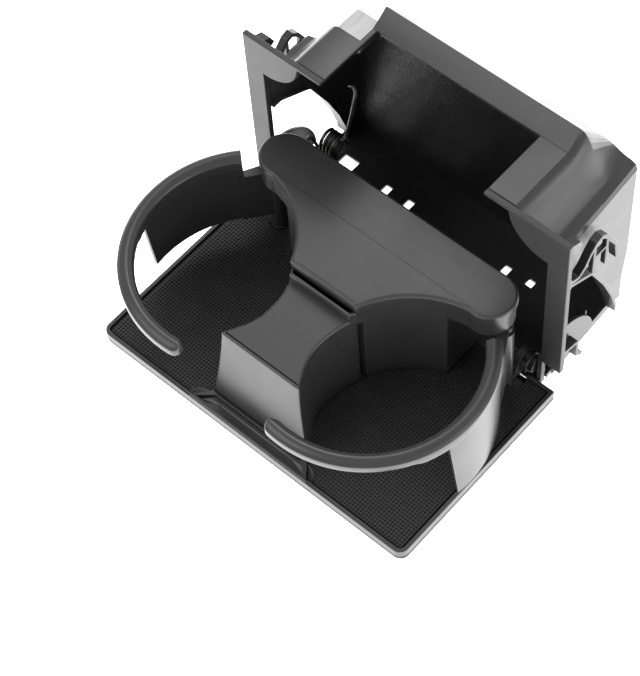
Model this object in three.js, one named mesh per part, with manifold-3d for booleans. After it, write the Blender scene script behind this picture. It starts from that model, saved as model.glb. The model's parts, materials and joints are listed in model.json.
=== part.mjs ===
// Fold-out double cup holder insert for the rear of a console.
// Millimetres, +Z up, +Y towards the rear of the housing, +X to the right.
// The origin is on the underside of the housing floor, below the flange's rear face.
// The model stands open: the door lies flat and its two arms are swung out.

import * as THREE from 'three';
import { mergeVertices } from 'three/addons/utils/BufferGeometryUtils.js';
import Module from 'manifold-3d';

const wasm = await Module();
wasm.setup();

// ---------------------------------------------------------------- driving sizes

const GAP = 0.3;                    // clearance between touching pieces

const FRAME_WIDTH = 190;
const FRAME_TOP = 123.6;
const FRAME_BOTTOM = 20;
const FRAME_THICK = 3;
const STRIP = 11.4;                 // width of the flange's side strips
const EAR_RADIUS = 21.5;
const NOTCH_HALF = 47.4;
const NOTCH_REAR = 37;
const BAR_DEPTH = 2;                // height of the thin bars beside the notch

const WALL = 2;
const SHELL_DEPTH = 63;
const SHELL_REAR_HALF = 83.2;
const SHELL_TOP = 123.3;
const HUMP_Y = 46.5;
const HUMP_RISE = 6.9;
const RIDGE_HALF = 62.5;
const SHOULDER_Z = 101.5;
const SHOULDER_RISE = 4;
const REAR_RIDGE_Z = 110;
const DRAFT_START_Z = 38;
const DRAFT_DEPTH = 2.4;
const LEFT_STEP_X = -50;
const LEFT_STEP_Y = 28;
const SILL_FRONT = -5;
const SILL_REAR = 4;
const LEG_WIDTH = 1.9;

const HINGE_Y = -2;
const HINGE_Z = 12;
const PIN_RADIUS = 2.5;
const BARREL_RADIUS = 5.6;
const EAR_INNER_X = 75;
const EAR_THICK = 3.5;
const KNUCKLE_THICK = 3.6;
const PIN_HEAD_RADIUS = 4.4;
const PIN_HEAD_THICK = 2.2;

const DOOR_WIDTH = 190;
const DOOR_FRONT = -118;
const DOOR_REAR = -6;
const SKIN_THICK = 2.8;
const PANEL_THICK = 2.4;
const RIM_WIDTH = 2.2;
const RIM_HEIGHT = 1.1;
const DOOR_CORNER = 5;
const MAT_THICK = 1.2;
const MAT_INSET = 3;

const GRIP_HALF = 34;
const GRIP_DEPTH = 8;

const SCREW_PLACES = [[-7, -96], [7, -96]];
const SCREW_HEAD = 2.6;
const SCREW_SHANK = 1.3;
const SCREW_POCKET_Z = 1;
const SCREW_BOSS = 3.6;

const PLATE_Z = 71;                 // top of the tray
const PLATE_THICK = 3;
const PLATE_REAR = -2;
const PLATE_END_X = 62;             // centre of the rounded end
const PLATE_END_Y = -15;
const PLATE_END_RADIUS = 13;
const CUP_X = 68;
const CUP_Y = -79;
const CUP_RADIUS = 52;
const STEP_Y = -59;
const PLATFORM_Z = 60;
const PLATFORM_FRONT = -103.5;
const COLUMN_LEAN = 5;
const TRAY_WALL = 2.2;
const BASE_HALF = 50;               // half width of the tray where it stands on the door
const END_SKIRT = 16;               // how far the wall hangs below the rounded ends

const ARM_X = 35.5;                 // ring centre of the right arm
const ARM_Y = -69.5;
const ARM_INNER = 53;
const ARM_OUTER = 60.8;
const ARM_TOP = 66.4;               // the right arm's rim; the left arm rides higher
const ARM_RISE = 8;
const RIM_DEPTH = 7.6;
const TIP_RELIEF = 1.8;
const TIP_RELIEF_ANGLE = 66;
const ARM_REAR_ANGLE = 44;
const ARM_TIP_ANGLE = -96;
const SKIRT_THICK = 2;
const SKIRT_BOTTOM = 11.5;
const SKIRT_END_ANGLE = -8;
const SKIRT_SLANT_ANGLE = 5;
const PIVOT_X = 71;
const PIVOT_Y = -15;
const PIVOT_PIN_RADIUS = 2;
const PIVOT_BARREL_RADIUS = 4.6;
const PIVOT_TOP = 50;

const SPRING_WIRE = 0.9;            // wire radius
const SPRING_COIL = 5.4;
const SPRING_TURNS = 5;

const OPEN_HALF = FRAME_WIDTH / 2 - STRIP;
const SHELL_FRONT_HALF = OPEN_HALF + WALL;
const MAT_TOP = SKIN_THICK + GAP + PANEL_THICK + GAP + MAT_THICK;
const PANEL_Z = SKIN_THICK + GAP;
const LEFT = -1;
const RIGHT = 1;

// ---------------------------------------------------------------- geometry helpers

const radians = THREE.MathUtils.degToRad;

/** A closed geometry as a Manifold solid. */
function solid(geometry) {
  const bare = geometry.index ? geometry.toNonIndexed() : geometry.clone();
  bare.deleteAttribute('normal');
  bare.deleteAttribute('uv');
  const merged = mergeVertices(bare, 1e-4);
  return new wasm.Manifold(new wasm.Mesh({
    numProp: 3,
    vertProperties: new Float32Array(merged.attributes.position.array),
    triVerts: new Uint32Array(merged.index.array),
  }));
}

/** A Manifold solid as a three.js geometry. */
function geometryOf(body) {
  const mesh = body.getMesh();
  const geometry = new THREE.BufferGeometry();
  geometry.setAttribute('position', new THREE.BufferAttribute(new Float32Array(mesh.vertProperties), 3));
  geometry.setIndex(new THREE.BufferAttribute(new Uint32Array(mesh.triVerts), 1));
  geometry.computeVertexNormals();
  return geometry;
}

const join = (first, ...rest) => rest.reduce((whole, piece) => whole.add(piece), first);
const cut = (first, ...rest) => rest.reduce((whole, piece) => whole.subtract(piece), first);

function outline(points) {
  return new THREE.Shape(points.map(([x, y]) => new THREE.Vector2(x, y)));
}

/** Points of a circular arc, angles in degrees, both ends included. */
function arc(cx, cy, radius, from, to, steps = 12) {
  return Array.from({ length: steps + 1 }, (_, i) => {
    const angle = radians(from + (to - from) * i / steps);
    return [cx + radius * Math.cos(angle), cy + radius * Math.sin(angle)];
  });
}

/** An XY outline raised from z0 to z1. */
function prismZ(points, z0, z1) {
  const geometry = new THREE.ExtrudeGeometry(outline(points), { depth: z1 - z0, bevelEnabled: false });
  return solid(geometry.translate(0, 0, z0));
}

/** An XZ outline carried from y0 to y1. */
function prismY(points, y0, y1) {
  const geometry = new THREE.ExtrudeGeometry(outline(points), { depth: y1 - y0, bevelEnabled: false });
  return solid(geometry.rotateX(Math.PI / 2).translate(0, y1, 0));
}

/** A YZ outline carried from x0 to x1. */
function prismX(points, x0, x1) {
  const geometry = new THREE.ExtrudeGeometry(outline(points), { depth: x1 - x0, bevelEnabled: false });
  geometry.applyMatrix4(new THREE.Matrix4().set(0, 0, 1, 0, 1, 0, 0, 0, 0, 1, 0, 0, 0, 0, 0, 1));
  return solid(geometry.translate(x0, 0, 0));
}

function block([x0, y0, z0], [x1, y1, z1]) {
  const geometry = new THREE.BoxGeometry(x1 - x0, y1 - y0, z1 - z0);
  return solid(geometry.translate((x0 + x1) / 2, (y0 + y1) / 2, (z0 + z1) / 2));
}

/** A round bar along an axis ('x', 'y' or 'z') between two places on it. */
function bar(axis, from, to, a, b, radius, sides = 24) {
  const geometry = new THREE.CylinderGeometry(radius, radius, to - from, sides);
  const middle = (from + to) / 2;
  if (axis === 'x') {
    geometry.rotateZ(Math.PI / 2).translate(middle, a, b);
  } else if (axis === 'y') {
    geometry.translate(a, middle, b);
  } else {
    geometry.rotateX(Math.PI / 2).translate(a, b, middle);
  }
  return solid(geometry);
}

/** Skins a row of matching closed loops; both caps are filled like the flat section. */
function loft(sections, flatSection) {
  const count = flatSection.length;
  const positions = sections.flat().flatMap((point) => [point.x, point.y, point.z]);
  const index = [];
  for (let row = 0; row < sections.length - 1; row += 1) {
    for (let i = 0; i < count; i += 1) {
      const a = row * count + i;
      const b = row * count + (i + 1) % count;
      index.push(a, b, a + count, b, b + count, a + count);
    }
  }
  const faces = THREE.ShapeUtils.triangulateShape(flatSection.map(([x, y]) => new THREE.Vector2(x, y)), []);
  const last = (sections.length - 1) * count;
  for (const [a, b, c] of faces) {
    index.push(a, c, b);
    index.push(last + a, last + b, last + c);
  }
  const geometry = new THREE.BufferGeometry();
  geometry.setAttribute('position', new THREE.Float32BufferAttribute(positions, 3));
  geometry.setIndex(index);
  return solid(geometry);
}

const mirrored = (body, side) => (side === LEFT ? body.mirror([1, 0, 0]) : body);

// ---------------------------------------------------------------- materials

function plastic(color, roughness) {
  return new THREE.MeshStandardMaterial({ color, roughness, metalness: 0 });
}

const STIPPLED = plastic(0x2b2b2d, 0.75);
const SATIN = plastic(0x3a3a3c, 0.5);
const SMOOTH = plastic(0x333335, 0.42);
const RUBBER = plastic(0x1a1a1b, 0.9);
const STEEL = new THREE.MeshStandardMaterial({ color: 0x4a4a4c, roughness: 0.35, metalness: 1 });

const holder = new THREE.Group();

function place(name, body, material) {
  const mesh = new THREE.Mesh(geometryOf(body), material);
  mesh.name = name;
  holder.add(mesh);
}

// ---------------------------------------------------------------- housing

/** Front-view outline of the housing at one depth, shrunk by inset. */
function housingSection(y, half, ridgeZ, shoulderZ, inset) {
  const corner = 4;
  const steps = 10;
  const side = half - inset;
  const points = [];
  points.push([side, inset]);
  points.push([side, shoulderZ - corner - inset]);
  points.push([side - corner * 0.3, shoulderZ - corner * 0.3 - inset]);
  const start = side - corner;
  const end = RIDGE_HALF - inset * 0.5;
  for (let i = 0; i <= steps; i += 1) {
    const t = i / steps;
    const swing = (1 - Math.cos(Math.PI * t)) / 2;
    points.push([start + (end - start) * t, shoulderZ - inset + (ridgeZ - shoulderZ) * swing]);
  }
  const left = points.map(([x, z]) => [-x, z]).reverse();
  return [...points, ...left].map(([x, z]) => new THREE.Vector3(x, y, z));
}

/** The housing's full body from the flange to the rear, shrunk by inset. */
function housingBody(inset, front) {
  const halfAt = (y) => SHELL_FRONT_HALF + (SHELL_REAR_HALF - SHELL_FRONT_HALF) * y / SHELL_DEPTH;
  const rear = SHELL_DEPTH - inset;
  const stations = [
    [rear, REAR_RIDGE_Z, SHOULDER_Z + SHOULDER_RISE],
    [HUMP_Y, SHELL_TOP + HUMP_RISE, SHOULDER_Z + SHOULDER_RISE * 0.7],
    [NOTCH_REAR + inset, SHELL_TOP, SHOULDER_Z + SHOULDER_RISE / 2],
    [front, SHELL_TOP, SHOULDER_Z],
  ];
  const sections = stations.map(([y, ridge, shoulder]) => housingSection(y, halfAt(y), ridge, shoulder, inset));
  const flatSection = sections[0].map((point) => [point.x, point.z]);
  const draft = [
    [rear + 1, DRAFT_START_Z],
    [rear, DRAFT_START_Z],
    [rear - DRAFT_DEPTH, DRAFT_START_Z / 2],
    [rear - DRAFT_DEPTH, -1],
    [rear + 1, -1],
  ];
  return cut(loft(sections, flatSection), prismX(draft, -FRAME_WIDTH, FRAME_WIDTH));
}

/** What the roof loses behind the left shoulder, where it falls away to the left and to the rear. */
function leftStep(inset) {
  const drop = inset * 1.35;
  const region = block([-FRAME_WIDTH / 2, LEFT_STEP_Y - inset, FRAME_BOTTOM],
    [LEFT_STEP_X + inset, SHELL_DEPTH + 5, FRAME_TOP + HUMP_RISE + 5]);
  const fallLeft = prismY([[-FRAME_WIDTH, -1], [-30, -1], [-30, 136 - drop], [LEFT_STEP_X, 118 - drop],
    [-74, 96 - drop], [-FRAME_WIDTH, 4]], 0, SHELL_DEPTH + 10);
  const fallRear = prismX([[0, -1], [SHELL_DEPTH + 10, -1], [SHELL_DEPTH + 10, 74.4 - drop], [61, 92.7 - drop],
    [42.6, 120.8 - drop], [0, 136 - drop]], -FRAME_WIDTH, 0);
  return cut(region, fallLeft.intersect(fallRear));
}

/** Side window outline in YZ, grown by margin. */
function windowOutline(margin) {
  const curve = [[6, 74], [26, 63.5], [37, 42], [44, 25], [48.5, 10]];
  return [[-1, 6], [-1, 74 + margin], ...curve.map(([y, z]) => [y + margin * 0.8, z + margin * 0.9]),
    [48.5 + margin, 6]];
}

function housingShell() {
  const outer = cut(housingBody(0, GAP), leftStep(0));
  const inner = cut(housingBody(WALL, -1), leftStep(WALL));
  const notch = block([-NOTCH_HALF, -1, PLATE_Z], [NOTCH_HALF, NOTCH_REAR, FRAME_TOP + 5]);
  const openings = [RIGHT, LEFT].map((side) => mirrored(
    prismX(windowOutline(0), SHELL_REAR_HALF - 8, SHELL_FRONT_HALF + 5), side));
  let shell = cut(outer, inner, notch, ...openings);
  for (const side of [RIGHT, LEFT]) {
    const ribOuter = prismX(windowOutline(1.8), SHELL_REAR_HALF - 0.5, SHELL_FRONT_HALF + 3);
    const ribInner = prismX(windowOutline(0), SHELL_REAR_HALF - 9, SHELL_FRONT_HALF + 6);
    const inFront = block([0, -5, 0], [FRAME_WIDTH, GAP, FRAME_TOP]);
    shell = join(shell, mirrored(cut(ribOuter, ribInner, inFront), side));
    // short gussets stand on the sill below the window
    for (const y of [16, 34]) {
      const gusset = prismX([[y, WALL / 2], [y + 1.6, WALL / 2], [y + 1.6, 16], [y, 16]],
        SHELL_REAR_HALF - 6, SHELL_REAR_HALF - 1.5);
      shell = join(shell, mirrored(gusset, side));
    }
    // hinge ear
    const ear = join(
      bar('x', EAR_INNER_X, EAR_INNER_X + EAR_THICK, HINGE_Y, HINGE_Z, BARREL_RADIUS),
      prismX([[SILL_REAR + GAP, 1], [14, 1], [HINGE_Y + BARREL_RADIUS - 0.4, HINGE_Z + 2], [HINGE_Y, HINGE_Z],
        [HINGE_Y, WALL + 2], [SILL_REAR + GAP, WALL + 2]], EAR_INNER_X, EAR_INNER_X + EAR_THICK),
    );
    shell = join(shell, mirrored(ear, side));
  }
  shell = cut(shell, block([-OPEN_HALF - 3, -1, -1], [OPEN_HALF + 3, SILL_REAR + GAP, WALL + GAP]));
  const slots = [[-71, 36, 9, 9], [-45, 36, 4, 6], [-30.5, 36, 4, 6], [32, 36, 4, 6], [46, 38, 4, 4]];
  for (const [x, y, width, length] of slots) {
    shell = cut(shell, block([x - width / 2, y - length / 2, -1], [x + width / 2, y + length / 2, WALL + 1]));
  }
  for (const side of [RIGHT, LEFT]) {
    const bore = bar('x', EAR_INNER_X - 1, EAR_INNER_X + EAR_THICK + 1, HINGE_Y, HINGE_Z, PIN_RADIUS + GAP);
    shell = cut(shell, mirrored(bore, side));
  }
  return shell;
}

function faceFrame() {
  const half = FRAME_WIDTH / 2;
  const top = FRAME_TOP;
  const earX = OPEN_HALF - 1;
  const sheet = prismY([[-half, FRAME_BOTTOM], [half, FRAME_BOTTOM], [half, top], [-half, top]], -FRAME_THICK, 0);
  const window = prismY([[-OPEN_HALF, 0], [OPEN_HALF, 0], [OPEN_HALF, top - BAR_DEPTH],
    [-OPEN_HALF, top - BAR_DEPTH]], -FRAME_THICK - 1, 1);
  const notch = block([-NOTCH_HALF, -FRAME_THICK - 1, PLATE_Z], [NOTCH_HALF, 1, top + 1]);
  const ears = [-1, 1].map((side) => bar('y', -FRAME_THICK, 0, side * earX, top, EAR_RADIUS, 64));
  const limits = prismY([[-half, 60], [half, 60], [half, top], [-half, top]], -FRAME_THICK, 0);
  // two legs and a sill close the frame below the door
  const sill = block([-OPEN_HALF, SILL_FRONT, 0], [OPEN_HALF, SILL_REAR, WALL]);
  const legs = [-1, 1].map((side) => {
    const [x0, x1] = [side * OPEN_HALF, side * (OPEN_HALF - LEG_WIDTH)].sort((a, b) => a - b);
    return block([x0 - (side < 0 ? 1 : 0), -FRAME_THICK, 0], [x1 + (side > 0 ? 1 : 0), 0, FRAME_BOTTOM + 4]);
  });
  return join(cut(sheet, window, notch), ...ears.map((ear) => ear.intersect(limits)), sill, ...legs);
}

/** Saddle clip that springs against the console beside the flange. */
function upperClip(side) {
  const x0 = SHELL_FRONT_HALF + 3.6;
  const x1 = FRAME_WIDTH / 2 - 1.6;
  const band = [[GAP, 92], [4, 89.5], [8, 88], [12, 91], [16, 97], [20, 101], [24, 102], [28, 99], [37, 83],
    [38.5, 71], [36.7, 70.4], [35, 82.4], [26.8, 96.6], [23.6, 99.6], [21, 98.8], [17.6, 95.2], [13.4, 88.8],
    [8.4, 85.6], [3.4, 87.2], [GAP, 89.6]];
  const ribs = [[[19.6, 98], [21.6, 98], [21.6, 78], [19.6, 76]], [[29, 94.6], [31, 91.4], [31, 74], [29, 73]]];
  const saddle = prismX(band, x0, x1);
  const webs = ribs.map((rib) => prismX(rib, x0 + 0.8, x1 - 0.8));
  const back = prismX([[GAP, 86], [GAP, 93.5], [2.2, 93.5], [2.2, 86]], x0 - 1.5, x1 + 0.6);
  const link = prismX([[19.6, 86], [31, 86], [31, 88], [19.6, 88]], x0 + 0.8, x1 - 0.8);
  return mirrored(join(saddle, ...webs, back, link), side);
}

function lowerClip(side) {
  const x0 = SHELL_FRONT_HALF + 3.2;
  const x1 = FRAME_WIDTH / 2 - 1.2;
  const band = [[GAP, 33], [11.5, 30.4], [12.6, 28.6], [12.6, 19], [16.6, 14.6], [15.2, 13.2], [10.6, 17.6],
    [10.6, 28], [GAP, 30.6]];
  return mirrored(join(prismX(band, x0, x1), prismX([[GAP, 21], [GAP, 34], [2, 34], [2, 21]], x0, x1)), side);
}

function snapTab(side) {
  const x0 = SHELL_FRONT_HALF + 1.6;
  const x1 = SHELL_FRONT_HALF + 7.5;
  const wedge = [[GAP, 119], [7.5, 116], [10, 111], [4.5, 109], [GAP, 110]];
  return mirrored(prismX(wedge, x0, x1), side);
}

/** Fixed quarter plate that covers the hinge outside the side window. */
function hingeQuadrant(side) {
  const x0 = SHELL_FRONT_HALF + 1;
  const points = [[1 + GAP, HINGE_Z - 4], ...arc(1 + GAP, HINGE_Z, 30, 2, 88, 16), [1 + GAP, HINGE_Z]];
  return mirrored(prismX(points, x0, x0 + 1.8), side);
}

function hingePin(side) {
  const inner = EAR_INNER_X - GAP - KNUCKLE_THICK - 1.5;
  const headFrom = EAR_INNER_X + EAR_THICK + GAP;
  const shank = bar('x', inner, headFrom + 0.5, HINGE_Y, HINGE_Z, PIN_RADIUS);
  const head = bar('x', headFrom, headFrom + PIN_HEAD_THICK, HINGE_Y, HINGE_Z, PIN_HEAD_RADIUS);
  return mirrored(join(shank, head), side);
}

/** Torsion spring between the housing wall and the tray: coil along X with two legs. */
function popUpSpring() {
  const coilX = -56;
  const coilY = 11;
  const coilZ = 58;
  const pitch = SPRING_WIRE * 2 + 0.35;
  const startX = coilX - pitch * SPRING_TURNS / 2;
  const points = [new THREE.Vector3(startX - 2.6, 2.2, 63.5), new THREE.Vector3(startX - 1.4, 4.4, 63.4)];
  const perTurn = 12;
  const first = 0.3 * perTurn;
  for (let i = first; i <= SPRING_TURNS * perTurn; i += 1) {
    const angle = Math.PI * 2 * i / perTurn;
    const x = startX + pitch * i / perTurn;
    points.push(new THREE.Vector3(x, coilY - SPRING_COIL * Math.sin(angle), coilZ + SPRING_COIL * Math.cos(angle)));
  }
  const endX = points[points.length - 1].x;
  points.push(new THREE.Vector3(endX + 0.6, 15.5, 68), new THREE.Vector3(endX + 1.4, 20.5, 84));
  points.push(new THREE.Vector3(endX + 1, 22.6, 91.5), new THREE.Vector3(endX - 2.4, 23, 93));
  const path = new THREE.CatmullRomCurve3(points, false, 'centripetal');
  const section = outline(arc(0, 0, SPRING_WIRE, 0, 315, 7));
  const geometry = new THREE.ExtrudeGeometry(section, { steps: 210, extrudePath: path, bevelEnabled: false });
  return solid(geometry);
}

// ---------------------------------------------------------------- door

function roundedDoor(grow, z0, z1) {
  const half = DOOR_WIDTH / 2 + grow;
  const front = DOOR_FRONT - grow;
  const rear = DOOR_REAR + grow;
  const r = DOOR_CORNER + grow;
  return prismZ([
    [-half, rear],
    ...arc(-half + r, front + r, r, 180, 270, 8),
    ...arc(half - r, front + r, r, 270, 360, 8),
    [half, rear],
  ], z0, z1);
}

/** Crowned outer cover of the door with the raised grip lip at its front edge. */
function doorSkin() {
  const stations = [[DOOR_FRONT, 1.3], [DOOR_FRONT + 2, 0.5], [DOOR_FRONT + 6, 0], [DOOR_REAR, 0]];
  const profile = [...stations, [DOOR_REAR, SKIN_THICK], [DOOR_FRONT, SKIN_THICK]];
  const skin = prismX(profile, -DOOR_WIDTH / 2, DOOR_WIDTH / 2).intersect(roundedDoor(0, -1, SKIN_THICK + 1));
  const screws = SCREW_PLACES.map(([x, y]) => bar('z', SCREW_POCKET_Z, SKIN_THICK + 1, x, y, SCREW_HEAD + GAP));
  return cut(skin, ...screws);
}

/** Inner panel with a rim round the mat, the hinge knuckles and the grip recess. */
function doorPanel() {
  const base = roundedDoor(0, PANEL_Z, PANEL_Z + PANEL_THICK);
  const rimTop = MAT_TOP + RIM_HEIGHT;
  const rimOuter = roundedDoor(0, PANEL_Z + 1, rimTop);
  const rimInner = roundedDoor(-RIM_WIDTH, PANEL_Z, rimTop + 1);
  let panel = join(base, cut(rimOuter, rimInner));
  const gripBlock = prismZ(gripOutline(1.6), PANEL_Z, rimTop + 1);
  const gripPocket = prismZ(gripOutline(0), PANEL_Z + PANEL_THICK, rimTop + 4);
  panel = cut(join(panel, gripBlock), gripPocket);
  for (const side of [RIGHT, LEFT]) {
    const x1 = EAR_INNER_X - GAP;
    const x0 = x1 - KNUCKLE_THICK;
    const knuckle = join(
      bar('x', x0, x1, HINGE_Y, HINGE_Z, BARREL_RADIUS),
      prismX([[DOOR_REAR - 9, PANEL_Z], [DOOR_REAR + 0.2, PANEL_Z], [HINGE_Y + 1, HINGE_Z - BARREL_RADIUS + 0.6],
        [HINGE_Y - 2, HINGE_Z + BARREL_RADIUS - 0.6]], x0, x1),
    );
    const bore = bar('x', x0 - 1, x1 + 1, HINGE_Y, HINGE_Z, PIN_RADIUS + GAP);
    const earRoom = block([x1 + GAP * 0.5, DOOR_REAR - 3.6, -1], [x1 + EAR_THICK + 1.4, DOOR_REAR + 1, rimTop + 1]);
    panel = cut(join(cut(panel, mirrored(earRoom, side)), mirrored(knuckle, side)), mirrored(bore, side));
    const post = bar('z', PANEL_Z + 1, MAT_TOP + 1.4, side * PIVOT_X, PIVOT_Y, PIVOT_BARREL_RADIUS);
    const postBore = bar('z', PANEL_Z - 1, MAT_TOP + 3, side * PIVOT_X, PIVOT_Y, PIVOT_PIN_RADIUS + GAP);
    panel = cut(join(panel, post), postBore);
  }
  const holes = SCREW_PLACES.map(([x, y]) => bar('z', 0, MAT_TOP, x, y, SCREW_SHANK + GAP));
  return cut(panel, ...holes);
}

/** Boat-shaped outline of the finger grip at the door's front edge. */
function gripOutline(grow) {
  const front = DOOR_FRONT + RIM_WIDTH - grow;
  const rear = DOOR_FRONT + GRIP_DEPTH + grow;
  const half = GRIP_HALF + grow * 1.8;
  return [[-half, front], [half, front], [half - 7, rear], [-half + 7, rear]];
}

function gripInsert() {
  const z0 = PANEL_Z + PANEL_THICK + GAP;
  const z1 = MAT_TOP + RIM_HEIGHT;
  let insert = prismZ(gripOutline(-GAP), z0, z1);
  for (let i = 0; i < 3; i += 1) {
    const y = DOOR_FRONT + 3.4 + i * 1.9;
    const half = GRIP_HALF - 6.5 - i;
    insert = cut(insert, block([-half, y, z1 - 1], [half, y + 0.9, z1 + 1]));
  }
  return insert;
}

/** One of the two mats; the tray's column stands between them. */
function rubberMat(side) {
  const z0 = PANEL_Z + PANEL_THICK + GAP;
  const mat = roundedDoor(-MAT_INSET, z0, MAT_TOP);
  const half = block([0.5, DOOR_FRONT, 0], [DOOR_WIDTH / 2, 0, MAT_TOP + 1]);
  const standing = block([-1, DOOR_FRONT, 0], [BASE_HALF + GAP, 0, MAT_TOP + 1]);
  const cuts = [
    prismZ(gripOutline(1.6 + GAP), 0, MAT_TOP + 1),
    prismZ(trayOutline(GAP * 2), 0, MAT_TOP + 1).intersect(standing),
    prismZ(columnFront(GAP * 2), 0, MAT_TOP + 1),
    block([0, -14, 0], [BASE_HALF + GAP, 0, MAT_TOP + 1]),
    bar('z', 0, MAT_TOP + 1, PIVOT_X, PIVOT_Y, PIVOT_BARREL_RADIUS + GAP),
    block([EAR_INNER_X - GAP - KNUCKLE_THICK - 1, DOOR_REAR - 10, 0],
      [EAR_INNER_X + EAR_THICK + 2, DOOR_REAR, MAT_TOP + 1]),
  ];
  return mirrored(cut(mat.intersect(half), ...cuts), side);
}

// ---------------------------------------------------------------- tray

/** Plan of the upper plate: a straight rear edge, rounded ends and two cup arcs. */
function trayOutline(grow) {
  const endRadius = PLATE_END_RADIUS + grow;
  const cupRadius = CUP_RADIUS - grow;
  const stepAngle = THREE.MathUtils.radToDeg(Math.asin((STEP_Y - CUP_Y) / cupRadius));
  const meet = 86;
  const right = [
    ...arc(CUP_X, CUP_Y, cupRadius, 180 - stepAngle, 180 - meet, 18),
    ...arc(PLATE_END_X, PLATE_END_Y, endRadius, -82, 90, 14),
  ];
  const left = right.map(([x, y]) => [-x, y]).reverse();
  return [...right, ...left];
}

/** Plan of the narrow platform in front of the step. */
function columnFront(grow) {
  const cupRadius = CUP_RADIUS - grow;
  const stepAngle = THREE.MathUtils.radToDeg(Math.asin((STEP_Y + 2 - CUP_Y) / cupRadius));
  const frontY = PLATFORM_FRONT - COLUMN_LEAN - grow;
  const frontAngle = THREE.MathUtils.radToDeg(Math.asin((CUP_Y - frontY) / cupRadius));
  const right = arc(CUP_X, CUP_Y, cupRadius, 180 + frontAngle, 180 - stepAngle, 18);
  const left = right.map(([x, y]) => [-x, y]).reverse();
  return [...right, ...left];
}

/** Keeps what is behind the leaning front face, moved back by inset. */
function behindFront(inset) {
  const y0 = PLATFORM_FRONT - COLUMN_LEAN + inset;
  const y1 = PLATFORM_FRONT + inset;
  return prismX([[y0, 0], [20, 0], [20, PLATE_Z + 5], [y1, PLATE_Z + 5], [y1, PLATFORM_Z]], -95, 95);
}

function trayMass(inset, topDrop) {
  const foot = PANEL_Z + PANEL_THICK + GAP;
  const z0 = inset > 0 ? foot - 1 : foot;
  const rear = prismZ(trayOutline(-inset), z0, PLATE_Z - topDrop);
  const front = prismZ(columnFront(-inset), z0, PLATFORM_Z - topDrop).intersect(behindFront(inset));
  return join(rear, front);
}

/** The hollow centre moulding: upper plate, step, platform, cup walls and leaning front. */
function cupTray() {
  const mass = trayMass(0, 0);
  let hollow = trayMass(TRAY_WALL, PLATE_THICK);
  // the back is open below a rim
  hollow = join(hollow, block([-48, PLATE_REAR - 6, 0], [48, PLATE_REAR + 3, PLATE_Z - 12]));
  let tray = cut(mass, hollow);
  for (const side of [RIGHT, LEFT]) {
    // below the rounded ends the moulding is cut away for the arm's hinge
    const z1 = PLATE_Z - END_SKIRT;
    const room = prismZ([[BASE_HALF, -60], [95, -60], [95, 10], [BASE_HALF, 10]], 0, z1);
    tray = cut(tray, mirrored(room, side));
    // boss that holds the top of the arm's pin, hung from the plate
    const boss = bar('z', z1, PLATE_Z - 1, side * PIVOT_X, PIVOT_Y, PIVOT_BARREL_RADIUS);
    const bore = bar('z', 0, PLATE_Z - 5, side * PIVOT_X, PIVOT_Y, PIVOT_PIN_RADIUS + GAP);
    tray = cut(join(tray, boss), bore);
  }
  const foot = PANEL_Z + PANEL_THICK + GAP;
  for (const [x, y] of SCREW_PLACES) {
    const screwBoss = bar('z', foot, PLATFORM_Z - 1, x, y, SCREW_BOSS);
    tray = cut(join(tray, screwBoss), bar('z', 0, foot + 9, x, y, SCREW_SHANK + GAP));
  }
  return tray;
}

function trayScrew([x, y]) {
  const head = bar('z', SCREW_POCKET_Z + GAP, PANEL_Z - GAP / 2, x, y, SCREW_HEAD);
  const shank = bar('z', PANEL_Z - GAP, PANEL_Z + PANEL_THICK + 7, x, y, SCREW_SHANK);
  return join(head, shank);
}

// ---------------------------------------------------------------- arms

/** Annular sector in plan, angles in degrees. */
function sector(inner, outer, from, to, steps) {
  return [...arc(ARM_X, ARM_Y, outer, from, to, steps), ...arc(ARM_X, ARM_Y, inner, to, from, steps)];
}

/** Rim section swept round the ring: rounded top, flat underside. */
function armRim() {
  const middle = (ARM_INNER + ARM_OUTER) / 2;
  const half = (ARM_OUTER - ARM_INNER) / 2;
  const low = ARM_TOP - RIM_DEPTH;
  const round = 3;
  const sectionPoints = [
    [-half, low], [half, low],
    ...arc(half - round, ARM_TOP - round, round, 0, 90, 5),
    ...arc(-half + round, ARM_TOP - round, round, 90, 180, 5),
  ];
  const steps = 44;
  const sections = [];
  for (let i = 0; i <= steps; i += 1) {
    const angle = radians(ARM_REAR_ANGLE + (ARM_TIP_ANGLE - ARM_REAR_ANGLE) * i / steps);
    sections.push(sectionPoints.map(([out, z]) => new THREE.Vector3(
      ARM_X + (middle + out) * Math.cos(angle), ARM_Y + (middle + out) * Math.sin(angle), z)));
  }
  return loft(sections, sectionPoints);
}

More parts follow.
